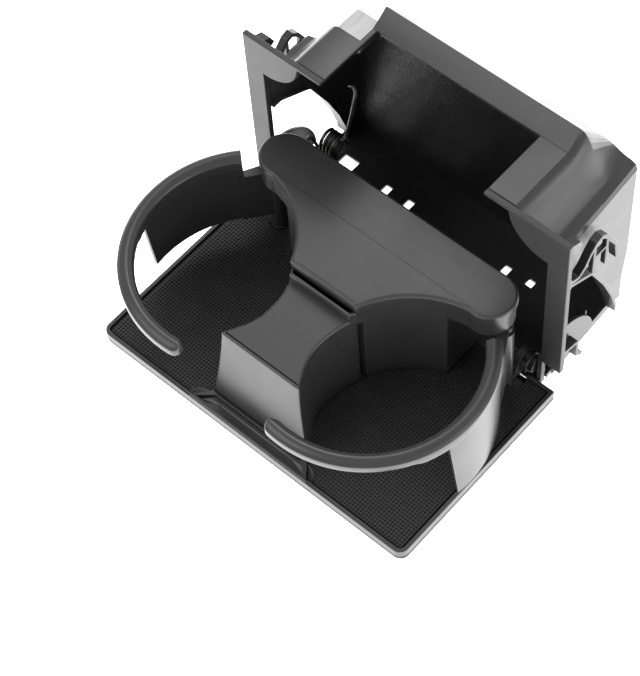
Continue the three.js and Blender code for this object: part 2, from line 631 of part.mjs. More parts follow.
function armBody(side) {
  const rimLow = ARM_TOP - RIM_DEPTH;
  const skirtInner = ARM_OUTER - SKIRT_THICK;
  const skirtPlan = sector(skirtInner, ARM_OUTER - 0.4, ARM_REAR_ANGLE, SKIRT_END_ANGLE - SKIRT_SLANT_ANGLE, 30);
  let skirt = prismZ(skirtPlan, SKIRT_BOTTOM, rimLow + 2);
  // the free end of the skirt leans: its lower corner is trimmed along a slanted line
  const endY = ARM_Y + ARM_OUTER * Math.sin(radians(SKIRT_END_ANGLE));
  const topY = ARM_Y + ARM_OUTER * Math.sin(radians(SKIRT_END_ANGLE - SKIRT_SLANT_ANGLE));
  const trim = prismX([[endY, SKIRT_BOTTOM - 1], [topY - 30, SKIRT_BOTTOM - 1], [topY - 30, rimLow],
    [topY, rimLow]], ARM_X, FRAME_WIDTH);
  skirt = cut(skirt, trim);
  const tipEnd = ARM_TIP_ANGLE - 5;
  const relief = prismZ(sector(ARM_INNER - 5, ARM_OUTER + 5, tipEnd, ARM_TIP_ANGLE + TIP_RELIEF_ANGLE, 16),
    rimLow - 1, rimLow + TIP_RELIEF);
  const tipAngle = radians(ARM_TIP_ANGLE);
  const middle = (ARM_INNER + ARM_OUTER) / 2;
  const tip = bar('z', rimLow + TIP_RELIEF, ARM_TOP - 1, ARM_X + middle * Math.cos(tipAngle),
    ARM_Y + middle * Math.sin(tipAngle), (ARM_OUTER - ARM_INNER) / 2 - 0.6, 20);
  let arm = join(cut(armRim(), relief), skirt, tip);
  // hinge barrel and the web that joins it to the skirt
  const raise = side === LEFT ? ARM_RISE : 0;
  const barrelTop = PIVOT_TOP - raise;
  const barrelLow = MAT_TOP + 1.4 + GAP - raise;
  const barrel = bar('z', barrelLow, barrelTop, PIVOT_X, PIVOT_Y, PIVOT_BARREL_RADIUS);
  const rearAngle = radians(ARM_REAR_ANGLE - 3);
  const joinX = ARM_X + (ARM_OUTER - 1.2) * Math.cos(rearAngle);
  const joinY = ARM_Y + (ARM_OUTER - 1.2) * Math.sin(rearAngle);
  const web = prismZ([[PIVOT_X - 2, PIVOT_Y - 3.4], [joinX - 1.6, joinY - 1], [joinX + 1, joinY + 1.4],
    [PIVOT_X + 3.4, PIVOT_Y - 1]], Math.max(SKIRT_BOTTOM, barrelLow) + 0.5, barrelTop - 1);
  const bore = bar('z', -10, barrelTop + 5, PIVOT_X, PIVOT_Y, PIVOT_PIN_RADIUS + GAP);
  arm = cut(join(arm, barrel, web), bore);
  return mirrored(arm.translate([0, 0, raise]), side);
}

function armPin(side) {
  return bar('z', PANEL_Z, PLATE_Z - 6, side * PIVOT_X, PIVOT_Y, PIVOT_PIN_RADIUS);
}

/** Light torsion spring round the foot of the arm's pin. */
function armSpring(side) {
  const top = PLATE_Z - END_SKIRT - GAP;
  const low = PIVOT_TOP + GAP * 2;
  const wire = 0.45;
  const turns = 3;
  const perTurn = 14;
  const points = Array.from({ length: turns * perTurn + 1 }, (_, i) => {
    const angle = Math.PI * 2 * i / perTurn;
    const z = low + wire + (top - low - wire * 2) * i / (turns * perTurn);
    return new THREE.Vector3(PIVOT_X + 3.4 * Math.cos(angle), PIVOT_Y + 3.4 * Math.sin(angle), z);
  });
  const path = new THREE.CatmullRomCurve3(points, false, 'centripetal');
  const section = outline(arc(0, 0, wire, 0, 300, 5));
  const geometry = new THREE.ExtrudeGeometry(section, { steps: turns * 16, extrudePath: path, bevelEnabled: false });
  return mirrored(solid(geometry), side);
}

// ---------------------------------------------------------------- assembly

place('face_frame', faceFrame(), STIPPLED);
place('housing_shell', housingShell(), SATIN);
place('pop_up_spring', popUpSpring(), STEEL);
place('door_skin', doorSkin(), SMOOTH);
place('door_panel', doorPanel(), SMOOTH);
place('grip_insert', gripInsert(), RUBBER);
place('cup_tray', cupTray(), SMOOTH);
SCREW_PLACES.forEach((point, i) => place(`tray_screw_${i + 1}`, trayScrew(point), STEEL));
for (const [side, word] of [[RIGHT, 'right'], [LEFT, 'left']]) {
  place(`rubber_mat_${word}`, rubberMat(side), RUBBER);
  place(`upper_clip_${word}`, upperClip(side), SATIN);
  place(`lower_clip_${word}`, lowerClip(side), SATIN);
  place(`snap_tab_${word}`, snapTab(side), SATIN);
  place(`hinge_quadrant_${word}`, hingeQuadrant(side), SATIN);
  place(`hinge_pin_${word}`, hingePin(side), STEEL);
  place(`arm_pin_${word}`, armPin(side), STEEL);
  place(`arm_spring_${word}`, armSpring(side), STEEL);
  place(`${word}_arm`, armBody(side), SMOOTH);
}

export default holder;
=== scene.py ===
"""Looks of a fold-out cup holder insert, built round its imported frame.

Lengths in the classes are millimetres and become metres when a mesh is made.
X runs to the right, Y to the rear of the housing and Z up.
"""

from __future__ import annotations

import json
import logging
import math
from collections.abc import Callable, Sequence
from dataclasses import dataclass, field
from enum import Enum

import bmesh
import bpy
import numpy as np
from mathutils import Matrix, Vector

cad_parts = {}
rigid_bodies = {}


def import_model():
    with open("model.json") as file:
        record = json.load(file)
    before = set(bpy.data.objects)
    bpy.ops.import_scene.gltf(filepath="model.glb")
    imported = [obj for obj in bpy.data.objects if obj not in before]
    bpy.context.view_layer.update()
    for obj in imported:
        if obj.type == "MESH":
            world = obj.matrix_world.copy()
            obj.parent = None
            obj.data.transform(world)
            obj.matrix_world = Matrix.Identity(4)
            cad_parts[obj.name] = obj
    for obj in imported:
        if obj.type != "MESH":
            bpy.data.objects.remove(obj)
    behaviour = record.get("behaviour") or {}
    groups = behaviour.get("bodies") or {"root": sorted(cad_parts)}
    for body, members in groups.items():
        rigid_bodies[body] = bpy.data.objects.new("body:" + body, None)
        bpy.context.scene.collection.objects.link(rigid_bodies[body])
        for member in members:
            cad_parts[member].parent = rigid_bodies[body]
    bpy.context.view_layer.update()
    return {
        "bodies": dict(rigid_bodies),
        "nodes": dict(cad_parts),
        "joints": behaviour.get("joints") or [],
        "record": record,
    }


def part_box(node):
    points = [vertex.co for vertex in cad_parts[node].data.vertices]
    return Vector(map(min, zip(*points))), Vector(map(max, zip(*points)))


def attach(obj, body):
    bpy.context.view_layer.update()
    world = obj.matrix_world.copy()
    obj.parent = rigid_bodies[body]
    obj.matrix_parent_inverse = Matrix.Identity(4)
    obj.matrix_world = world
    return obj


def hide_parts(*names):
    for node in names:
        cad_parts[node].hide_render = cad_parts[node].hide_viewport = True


LOG = logging.getLogger("cup_holder")
MM = 0.001
FLAT_RIM = 0.3
BEVEL_SEGMENTS = 3
Array = np.ndarray


class Side(Enum):
    """The two sides of the insert, with the sign of their X."""

    RIGHT = 1
    LEFT = -1

    @property
    def word(self) -> str:
        """The side's name as the nodes spell it."""
        return self.name.lower()


# ------------------------------------------------------------------ shader kit


class Socket:
    """An output socket that adds Math nodes when it is used in arithmetic."""

    def __init__(self, graph: "Graph", output: bpy.types.NodeSocket) -> None:
        """Wraps one output of a graph."""
        self.graph = graph
        self.output = output

    def _math(self, operation: str, first: object, second: object) -> "Socket":
        """A Math node of that operation on two values or sockets."""
        return self.graph.node("ShaderNodeMath", {"operation": operation}, {0: first, 1: second})

    def __add__(self, other: object) -> "Socket":
        """Sum."""
        return self._math("ADD", self, other)

    def __mul__(self, other: object) -> "Socket":
        """Product."""
        return self._math("MULTIPLY", self, other)

    __radd__ = __add__
    __rmul__ = __mul__


class Graph:
    """The node tree of one material."""

    def __init__(self, name: str) -> None:
        """Makes an empty material of that name."""
        self.material = bpy.data.materials.new(name)
        self.material.use_nodes = True
        self.tree = self.material.node_tree
        self.tree.nodes.clear()

    def node(
        self,
        kind: str,
        settings: dict[str, object] | None = None,
        inputs: dict[int | str, object] | None = None,
        output: int | str = 0,
    ) -> Socket:
        """Adds a node.

        Args:
            kind: the node's type.
            settings: its properties, and ramp stops as "stops".
            inputs: values or sockets by input name or number.
            output: the output that is returned.

        Returns:
            The chosen output.
        """
        made = self.tree.nodes.new(kind)
        for key, value in (settings or {}).items():
            if key == "stops":
                self._set_stops(made.color_ramp, value)
            else:
                setattr(made, key, value)
        for key, value in (inputs or {}).items():
            if isinstance(value, Socket):
                self.tree.links.new(value.output, made.inputs[key])
            else:
                made.inputs[key].default_value = value
        return Socket(self, made.outputs[output]) if made.outputs else Socket(self, None)

    @staticmethod
    def _set_stops(ramp: bpy.types.ColorRamp, stops: Sequence[tuple[float, tuple[float, ...]]]) -> None:
        """Writes a ramp's places and colours."""
        while len(ramp.elements) < len(stops):
            ramp.elements.new(0.5)
        for element, (place, colour) in zip(ramp.elements, stops):
            element.position = place
            element.color = colour

    def grain(self, size: float, detail: float = 2.0, offset: float = 0.0) -> Socket:
        """Noise on object coordinates whose bumps are about that many millimetres across."""
        place = self.node("ShaderNodeTexCoord", output="Object")
        moved = self.node("ShaderNodeMapping", None, {"Vector": place, "Location": (offset, offset, offset)})
        return self.node(
            "ShaderNodeTexNoise", None, {"Vector": moved, "Scale": 1.0 / (size * MM), "Detail": detail}
        )

    def ramp(self, value: Socket, low: float, high: float) -> Socket:
        """Stretches the range low to high of a value to 0 to 1."""
        return self.node(
            "ShaderNodeMapRange",
            {"interpolation_type": "SMOOTHSTEP"},
            {0: value, 1: low, 2: high, 3: 0.0, 4: 1.0},
        )

    def tint(self, mask: Socket, low: Sequence[float], high: Sequence[float]) -> Socket:
        """A colour that goes from low to high with the mask."""
        return self.node(
            "ShaderNodeMix",
            {"data_type": "RGBA"},
            {0: mask, 6: (*low, 1.0), 7: (*high, 1.0)},
            output=2,
        )


@dataclass(frozen=True)
class Plastic:
    """A moulded plastic: colour, sheen and the grain of the mould's face."""

    name: str
    colour: tuple[float, float, float]
    roughness: float
    grain_size: float = 0.5
    grain_depth: float = 0.012
    cloud: float = 0.12
    specular: float = 0.5

    def build(self) -> bpy.types.Material:
        """Colour drifts by cloud over some 25 mm; the grain is a noise bump of the stated depth."""
        graph = Graph(self.name)
        drift = graph.ramp(graph.grain(26.0, 3.0), 0.3, 0.7)
        speck = graph.ramp(graph.grain(self.grain_size, 2.0, 3.1), 0.35, 0.65)
        scuff = graph.ramp(graph.grain(3.2, 5.0, 7.7), 0.52, 0.74)
        low = tuple(c * (1 - self.cloud) for c in self.colour)
        high = tuple(c * (1 + self.cloud) for c in self.colour)
        height = graph.grain(self.grain_size, 1.5, 3.1)
        bump = graph.node(
            "ShaderNodeBump",
            None,
            {"Strength": 1.0, "Distance": self.grain_depth * MM, "Height": height},
        )
        rough = drift * 0.05 + speck * 0.04 + scuff * 0.03 + (self.roughness - 0.05)
        shader = graph.node(
            "ShaderNodeBsdfPrincipled",
            None,
            {
                "Base Color": graph.tint(drift * 0.75 + speck * 0.25, low, high),
                "Roughness": rough,
                "Specular IOR Level": self.specular,
                "Normal": bump,
            },
        )
        graph.node("ShaderNodeOutputMaterial", None, {"Surface": shader})
        return graph.material


@dataclass(frozen=True)
class Rubber:
    """Soft black rubber with a chalky, slightly dusty face."""

    name: str
    colour: tuple[float, float, float]
    roughness: float

    def build(self) -> bpy.types.Material:
        """Dust lightens the face in patches of some 12 mm; a fine noise roughens it."""
        graph = Graph(self.name)
        dust = graph.ramp(graph.grain(12.0, 4.0), 0.4, 0.75)
        fine = graph.grain(0.25, 2.0, 1.3)
        bump = graph.node("ShaderNodeBump", None, {"Strength": 1.0, "Distance": 0.02 * MM, "Height": fine})
        lifted = tuple(c * 1.6 for c in self.colour)
        shader = graph.node(
            "ShaderNodeBsdfPrincipled",
            None,
            {
                "Base Color": graph.tint(dust * 0.7 + fine * 0.3, self.colour, lifted),
                "Roughness": dust * 0.08 + self.roughness,
                "Specular IOR Level": 0.4,
                "Normal": bump,
            },
        )
        graph.node("ShaderNodeOutputMaterial", None, {"Surface": shader})
        return graph.material


@dataclass(frozen=True)
class SpringSteel:
    """Oiled dark steel wire and pins."""

    name: str
    colour: tuple[float, float, float]
    roughness: float

    def build(self) -> bpy.types.Material:
        """Oil darkens patches of some 3 mm, and drawing marks roughen the wire."""
        graph = Graph(self.name)
        oil = graph.ramp(graph.grain(3.0, 4.0), 0.35, 0.7)
        marks = graph.grain(0.2, 2.0, 5.0)
        bump = graph.node("ShaderNodeBump", None, {"Strength": 1.0, "Distance": 0.008 * MM, "Height": marks})
        dark = tuple(c * 0.45 for c in self.colour)
        shader = graph.node(
            "ShaderNodeBsdfPrincipled",
            None,
            {
                "Base Color": graph.tint(oil, self.colour, dark),
                "Metallic": 0.9,
                "Roughness": oil * 0.12 + self.roughness,
                "Normal": bump,
            },
        )
        graph.node("ShaderNodeOutputMaterial", None, {"Surface": shader})
        return graph.material


@dataclass(frozen=True)
class StudioPaper:
    """Pale paper that the insert stands on."""

    name: str = "studio_paper"
    glow: float = 2.3

    def build(self) -> bpy.types.Material:
        """White with a faint drift of tone."""
        graph = Graph(self.name)
        drift = graph.ramp(graph.grain(300.0, 2.0), 0.3, 0.7)
        shader = graph.node(
            "ShaderNodeBsdfPrincipled",
            None,
            {
                "Base Color": graph.tint(drift, (0.93, 0.93, 0.93), (0.95, 0.95, 0.95)),
                "Roughness": 0.9,
                "Specular IOR Level": 0.1,
                "Emission Color": (1.0, 1.0, 1.0, 1.0),
                "Emission Strength": self.glow,
            },
        )
        graph.node("ShaderNodeOutputMaterial", None, {"Surface": shader})
        return graph.material


class Tone(Enum):
    """The finishes of the insert."""

    FLANGE = Plastic("flange_stippled", (0.016, 0.016, 0.0164), 0.44, 0.8, 0.16, 0.14)
    HOUSING = Plastic("housing_satin", (0.024, 0.024, 0.0245), 0.34, 0.5, 0.02, 0.10)
    # Inside of the housing: a coarser stipple, and a colour about a third of the housing's, which is painted
    # shade for the recess.
    WELL = Plastic("housing_inner_stippled", (0.007, 0.007, 0.0072), 0.4, 1.3, 0.28, 0.2)
    TRAY = Plastic("tray_satin", (0.024, 0.024, 0.025), 0.36, 0.45, 0.015, 0.08)
    ARM = Plastic("arm_satin", (0.022, 0.022, 0.0225), 0.33, 0.45, 0.014, 0.08)
    DOOR = Plastic("door_satin", (0.024, 0.024, 0.0245), 0.33, 0.45, 0.012, 0.08)
    DARK = Plastic("fitting_satin", (0.012, 0.012, 0.0122), 0.34, 0.5, 0.015, 0.1)
    RUBBER = Rubber("mat_rubber", (0.012, 0.012, 0.0122), 0.5)
    STEEL = SpringSteel("spring_steel", (0.07, 0.068, 0.065), 0.34)


class Palette:
    """Builds each finish once."""

    def __init__(self) -> None:
        """Starts with no finish built."""
        self._made: dict[Tone, bpy.types.Material] = {}

    def get(self, tone: Tone) -> bpy.types.Material:
        """The material of a finish."""
        if tone not in self._made:
            self._made[tone] = tone.value.build()
        return self._made[tone]


# ------------------------------------------------------------------ surface kit


def grid_quads(rows: int, cols: int, wrap: bool = False) -> Array:
    """Quads of a grid of points stored row by row; wrap joins the last column to the first."""
    row = np.arange(rows - 1)[:, None]
    col = np.arange(cols if wrap else cols - 1)[None, :]
    here = row * cols + col
    beside = row * cols + (col + 1) % cols
    return np.stack([here, beside, beside + cols, here + cols], -1).reshape(-1, 4)


def arc_points(cx: float, cy: float, radius: float, start: float, stop: float, steps: int) -> Array:
    """Points of a circle between two angles in degrees."""
    turn = np.radians(np.linspace(start, stop, steps + 1))
    return np.stack([cx + radius * np.cos(turn), cy + radius * np.sin(turn)], -1)


def folded_cap(count: int) -> list[list[int]]:
    """Faces that fill a ring of an even count of points, paired across the mirror line at its first."""
    i = np.arange(1, count // 2 - 1)
    quads = np.stack([i, i + 1, count - i - 1, count - i], -1).tolist()
    return [[0, 1, count - 1], *quads, [count // 2 - 1, count // 2, count // 2 + 1]]


def blur_loop(points: Array, sigma: float) -> Array:
    """Evenly spaced points of a closed line, averaged round it by a Gaussian of sigma millimetres."""
    count = len(points)
    spacing = float(np.linalg.norm(np.diff(points, axis=0), axis=1).mean())
    offset = np.minimum(np.arange(count), count - np.arange(count)) * spacing
    kernel = np.exp(-0.5 * (offset / sigma) ** 2)
    spectrum = np.fft.fft(kernel / kernel.sum())[:, None]
    return np.fft.ifft(np.fft.fft(points, axis=0) * spectrum, axis=0).real


def even_outline(points: Array, spacing: float = 0.6, blur: float = 0.8) -> Array:
    """A closed plan outline in even steps, its corners blurred by a Gaussian of that many millimetres."""
    closed = np.concatenate([points, points[:1]])
    travel = np.concatenate([[0.0], np.cumsum(np.linalg.norm(np.diff(closed, axis=0), axis=1))])
    places = np.linspace(0, travel[-1], int(travel[-1] / spacing) // 2 * 2, endpoint=False)
    return blur_loop(np.stack([np.interp(places, travel, closed[:, i]) for i in (0, 1)], -1), blur)


def inset_outline(outline: Array, distance: float, spread: float = 3.2) -> Array:
    """An anticlockwise outline moved inwards along its blurred copy's normals, so corners never cross."""
    soft = blur_loop(outline, spread)
    along = np.roll(soft, -1, axis=0) - np.roll(soft, 1, axis=0)
    along /= np.linalg.norm(along, axis=1, keepdims=True)
    return outline - distance * np.stack([along[:, 1], -along[:, 0]], -1)


def stacked_rings(outline: Array, profile: Sequence[tuple[float, float]]) -> Array:
    """Rings of an outline at each (inset, height) of a profile."""
    return np.stack(
        [np.column_stack([inset_outline(outline, d), np.full(len(outline), z)]) for d, z in profile]
    )


def rounded_top(radius: float, top: float, start: float = 0.0, steps: int = 7) -> list[tuple[float, float]]:
    """Profile of a quarter circle that turns a wall into a flat top: (inset, height) pairs."""
    turn = np.linspace(0, np.pi / 2, steps)
    bend = [(start + radius * (1 - math.cos(t)), top - radius * (1 - math.sin(t))) for t in turn]
    return [*bend, (start + radius + FLAT_RIM, top)]


@dataclass
class Shape:
    """Points in millimetres and faces, gathered into one mesh."""

    points: list[Array] = field(default_factory=list)
    faces: list[tuple[int, ...]] = field(default_factory=list)
    count: int = 0

    def add(self, points: Array, faces: Sequence[Sequence[int]]) -> "Shape":
        """Adds points with their faces, whose numbers start at 0."""
        self.points.append(np.asarray(points, float).reshape(-1, 3))
        shift = self.count
        self.faces.extend(tuple(int(i) + shift for i in face) for face in faces)
        self.count += len(self.points[-1])
        return self

    def add_tube(self, rings: Array, closed: bool = False, folded: bool = False) -> "Shape":
        """Adds a skin over rings of points (rings, points of a ring, 3), capped unless closed.

        Args:
            rings: the rings.
            closed: whether the last ring joins the first, which leaves no caps.
            folded: whether the caps are quads from one side of a mirrored ring to the other.

        Returns:
            The shape.
        """
        rows, cols = rings.shape[:2]
        if closed:
            rings = np.concatenate([rings, rings[:1]])
            rows += 1
        faces = grid_quads(rows, cols, wrap=True).tolist()
        if folded:
            lid = folded_cap(cols)
            faces += [face[::-1] for face in lid] + [[i + (rows - 1) * cols for i in face] for face in lid]
        elif not closed:
            faces += [list(range(cols))[::-1], list(range((rows - 1) * cols, rows * cols))]
        return self.add(rings, faces)

    def add_prism(self, outline: Array, low: float, high: float) -> "Shape":
        """Adds a plan outline carried from one height to another."""
        count = len(outline)
        heights = np.repeat([low, high], count)
        points = np.column_stack([np.tile(outline, (2, 1)), heights])
        return self.add_tube(points.reshape(2, count, 3))

    def add_lathe(self, profile: Array, centre: tuple[float, float], steps: int = 40) -> "Shape":
        """Adds a closed (radius, height) profile turned about a vertical line."""
        turn = np.linspace(0, 2 * np.pi, steps, endpoint=False)
        x = centre[0] + np.cos(turn)[:, None] * profile[None, :, 0]
        y = centre[1] + np.sin(turn)[:, None] * profile[None, :, 0]
        z = np.broadcast_to(profile[None, :, 1], x.shape)
        return self.add_tube(np.stack([x, y, z], -1), closed=True)

    def to_object(self, name: str, material: bpy.types.Material, mirror: bool = False) -> bpy.types.Object:
        """Makes the object, with doubles merged and faces outwards.

        Args:
            name: the piece's name.
            material: its finish.
            mirror: whether X is turned to the other side.

        Returns:
            The object, at the origin.
        """
        points = np.concatenate(self.points) * MM
        if mirror:
            points = points * np.array([-1.0, 1.0, 1.0])
        mesh = bpy.data.meshes.new(name)
        mesh.from_pydata(points.tolist(), [], self.faces)
        body = bmesh.new()
        body.from_mesh(mesh)
        bmesh.ops.remove_doubles(body, verts=body.verts, dist=1e-7)
        bmesh.ops.recalc_face_normals(body, faces=body.faces)
        body.to_mesh(mesh)
        body.free()
        mesh.materials.append(material)
        made = bpy.data.objects.new(name, mesh)
        bpy.context.scene.collection.objects.link(made)
        return made


def soften(made: bpy.types.Object, width: float, angle: float) -> None:
    """Rounds the edges sharper than angle by width millimetres and shades the rest smooth."""
    made.data.shade_smooth()
    bevel = made.modifiers.new("rounding", "BEVEL")
    bevel.width = width * MM
    bevel.segments = BEVEL_SEGMENTS
    bevel.limit_method = "ANGLE"
    bevel.angle_limit = math.radians(angle)
    bevel.harden_normals = True
    bevel.use_clamp_overlap = True


@dataclass(frozen=True)
class Rounding:
    """How wide the edges at a place are rounded."""

    width: float
    where: Callable[[Array], bool]


@dataclass
class Moulding:
    """A frame node carried over with its flats dissolved and its edges rounded."""

    node: str
    body: str
    slot: str
    tone: Tone
    width: float = 0.4
    special: tuple[Rounding, ...] = ()
    sharp_angle: float = 24.0
    inner_tone: Tone | None = None
    inner_centre: tuple[float, float, float] = (0.0, 0.0, 0.0)

    @property
    def name(self) -> str:
        """The piece's name."""
        return f"{self.node}_moulded"

    def build(self, frame: dict, palette: Palette) -> bpy.types.Object:
        """Copies, merges and rounds the node, and puts the copy in its place.

        Args:
            frame: the loaded frame.
            palette: the finishes.

        Returns:
            The new piece.
        """
        mesh = frame["nodes"][self.node].data.copy()
        mesh.name = self.name
        mesh.materials.clear()
        mesh.materials.append(palette.get(self.tone))
        if self.inner_tone:
            mesh.materials.append(palette.get(self.inner_tone))
        body = bmesh.new()
        body.from_mesh(mesh)
        bmesh.ops.remove_doubles(body, verts=body.verts, dist=2e-6)
        bmesh.ops.dissolve_degenerate(body, edges=body.edges, dist=5e-6)
        bmesh.ops.dissolve_limit(body, angle_limit=math.radians(0.8), verts=body.verts, edges=body.edges)
        body.normal_update()
        self._weigh(body)
        if self.inner_tone:
            self._part_inside(body)
        for face in body.faces:
            face.smooth = True
        body.to_mesh(mesh)
        body.free()
        mesh.set_sharp_from_angle(angle=math.radians(self.sharp_angle))
        made = bpy.data.objects.new(self.name, mesh)
        bpy.context.scene.collection.objects.link(made)
        bevel = made.modifiers.new("rounding", "BEVEL")
        bevel.width = max([self.width, *(s.width for s in self.special)]) * MM
        bevel.segments = BEVEL_SEGMENTS
        bevel.limit_method = "WEIGHT"
        bevel.harden_normals = True
        bevel.use_clamp_overlap = False
        bevel.loop_slide = False
        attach(made, self.body)
        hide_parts(self.node)
        return made

    def _weigh(self, body: bmesh.types.BMesh) -> None:
        """Gives each sharp edge the share of the rounding's width that its place asks for."""
        layer = body.edges.layers.float.new("bevel_weight_edge")
        widest = max([self.width, *(s.width for s in self.special)])
        limit = math.radians(self.sharp_angle)
        for edge in body.edges:
            if len(edge.link_faces) != 2 or edge.calc_face_angle(0.0) < limit:
                continue
            if self.inner_tone and all(self._looks_inside(face) for face in edge.link_faces):
                continue
            middle = np.array((edge.verts[0].co + edge.verts[1].co) / 2) / MM
            wanted = next((s.width for s in self.special if s.where(middle)), self.width)
            room = min(face_room(face, edge) for face in edge.link_faces)
            edge[layer] = min(wanted, room) / widest

    def _looks_inside(self, face: bmesh.types.BMFace) -> bool:
        """Whether a face looks at the inner centre."""
        return face.normal.dot(Vector(self.inner_centre) * MM - face.calc_center_median()) > 0

    def _part_inside(self, body: bmesh.types.BMesh) -> None:
        """Faces that look at the inner centre take the second finish."""
        for face in body.faces:
            face.material_index = int(self._looks_inside(face))


def face_room(face: bmesh.types.BMFace, edge: bmesh.types.BMEdge) -> float:
    """Nearly a third of the face's reach from the edge, in millimetres, so that roundings never meet."""
    start = edge.verts[0].co
    along = (edge.verts[1].co - start).normalized()
    reach = max(((v.co - start) - along * (v.co - start).dot(along)).length for v in face.verts)
    return reach / MM * 0.3


# ------------------------------------------------------------------ housing


@dataclass
class Housing:
    """The hooded housing, its flange, clips, tabs, hinge plates and pins."""

    well_centre: tuple[float, float, float] = (2.0, 28.0, 52.0)
    corner_rounding: float = 0.0
    corner_height: float = 90.0
    corner_depth: float = 44.0
    corner_half: float = 56.0

    def build(self, frame: dict, palette: Palette) -> list[bpy.types.Object]:
        """Builds the housing's mouldings.

        Args:
            frame: the loaded frame.
            palette: the finishes.

        Returns:
            The pieces.
        """
        made = [
            Moulding(
                "housing_shell", "housing", "satin_plastic", Tone.HOUSING, 0.45,
                (Rounding(self.corner_rounding, self._on_corner),),
                # Faces that look into the housing take the coarse stipple and the much darker colour; the
                # darker colour is painted shade, not a different plastic.
                inner_tone=Tone.WELL, inner_centre=self.well_centre,
            ),
            Moulding("face_frame", "housing", "stippled_plastic", Tone.FLANGE, 0.45),
        ]
        for side in Side:
            for stem in ("upper_clip", "lower_clip", "snap_tab", "hinge_quadrant"):
                made.append(Moulding(f"{stem}_{side.word}", "housing", "satin_plastic", Tone.DARK, 0.35))
            made.append(Moulding(f"hinge_pin_{side.word}", "housing", "steel", Tone.STEEL, 0.3))
        return [piece.build(frame, palette) for piece in made]

    def _on_corner(self, place: Array) -> bool:
        """Whether a place is at a rear top corner of the hood, where narrow strips meet."""
        above = place[2] > self.corner_height and place[1] > self.corner_depth
        return bool(above and abs(place[0]) > self.corner_half)


@dataclass
class PopUpSpring:
    """The coiled wire spring behind the left end of the tray, with its long hooked leg."""

    wire: float = 0.9
    coil: float = 5.4
    turns: float = 5.0
    centre: tuple[float, float, float] = (-56.0, 11.0, 58.0)
    gap: float = 0.35
    ring_points: int = 12

    def path(self) -> Array:
        """A helix about X, with a short leg forward and a long leg up to a hook."""
        pitch = self.wire * 2 + self.gap
        start = self.centre[0] - pitch * self.turns / 2
        share = np.linspace(0.3, self.turns, 150)
        turn = 2 * np.pi * share
        helix = np.stack(
            [
                start + pitch * share,
                self.centre[1] - self.coil * np.sin(turn),
                self.centre[2] + self.coil * np.cos(turn),
            ],
            -1,
        )
        end = helix[-1, 0]
        lead = np.array([[start - 2.6, 2.2, 63.5], [start - 1.4, 4.0, 63.4]])
        leg = np.array([
            [end + 0.6, 15.5, 66.0], [end + 1.4, 20.5, 84.0], [end + 1.0, 22.6, 91.0],
            [end - 1.0, 23.0, 93.0], [end - 3.0, 22.8, 92.2],
        ])
        return np.concatenate([smooth_path(np.concatenate([lead, helix[:1]]), 6), helix[1:-1],
                               smooth_path(np.concatenate([helix[-1:], leg]), 9)])

    def build(self, palette: Palette) -> bpy.types.Object:
        """Carries the round wire along the path."""
        shape = Shape().add_tube(tube_rings(self.path(), self.wire, self.ring_points))
        made = shape.to_object("pop_up_spring_wire", palette.get(Tone.STEEL))
        made.data.shade_smooth()
        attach(made, "housing")
        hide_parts("pop_up_spring")
        return made


def smooth_path(points: Array, steps: int) -> Array:
    """A Catmull-Rom curve through points, with that many steps between each two."""
    padded = np.concatenate([2 * points[:1] - points[1:2], points, 2 * points[-1:] - points[-2:-1]])
    t = np.linspace(0, 1, steps, endpoint=False)[None, :, None]
    a, b, c, d = (padded[i : len(padded) - 3 + i, None, :] for i in range(4))
    curve = 0.5 * (2 * b + (c - a) * t + (2 * a - 5 * b + 4 * c - d) * t**2 + (3 * b - a - 3 * c + d) * t**3)
    return np.concatenate([curve.reshape(-1, 3), points[-1:]])


def tube_rings(path: Array, radius: float, count: int) -> Array:
    """Rings square to a path, each turned as little as possible from the one before."""
    tangent = np.gradient(path, axis=0)
    tangent /= np.linalg.norm(tangent, axis=1, keepdims=True)
    across = np.zeros_like(path)
    guide = np.array([0.0, 0.0, 1.0]) if abs(tangent[0, 2]) < 0.9 else np.array([1.0, 0.0, 0.0])
    for i, along in enumerate(tangent):
        guide = guide - along * (guide @ along)
        guide = guide / np.linalg.norm(guide)
        across[i] = guide
    other = np.cross(tangent, across)
    turn = np.linspace(0, 2 * np.pi, count, endpoint=False)
    return path[:, None] + radius * (
        np.cos(turn)[None, :, None] * across[:, None] + np.sin(turn)[None, :, None] * other[:, None]
    )


# ------------------------------------------------------------------ door


def plan_edges(mesh: bpy.types.Mesh, height: float) -> Array:
    """Edges in plan, in millimetres, where a level plane at that height cuts a mesh of triangles."""
    points = np.zeros(len(mesh.vertices) * 3)
    mesh.vertices.foreach_get("co", points)
    mesh.calc_loop_triangles()
    corners = np.zeros(len(mesh.loop_triangles) * 3, int)
    mesh.loop_triangles.foreach_get("vertices", corners)
    triangles = (points.reshape(-1, 3) / MM)[corners.reshape(-1, 3)]
    after = np.roll(triangles, -1, axis=1)
    rise, next_rise = triangles[..., 2] - height, after[..., 2] - height
    crossing = rise * next_rise < 0
    share = np.where(crossing, rise / np.where(crossing, rise - next_rise, 1.0), 0.0)
    places = triangles + (after - triangles) * share[..., None]
    whole = crossing.sum(1) == 2
    return places[whole][crossing[whole]].reshape(-1, 2, 3)[..., :2]


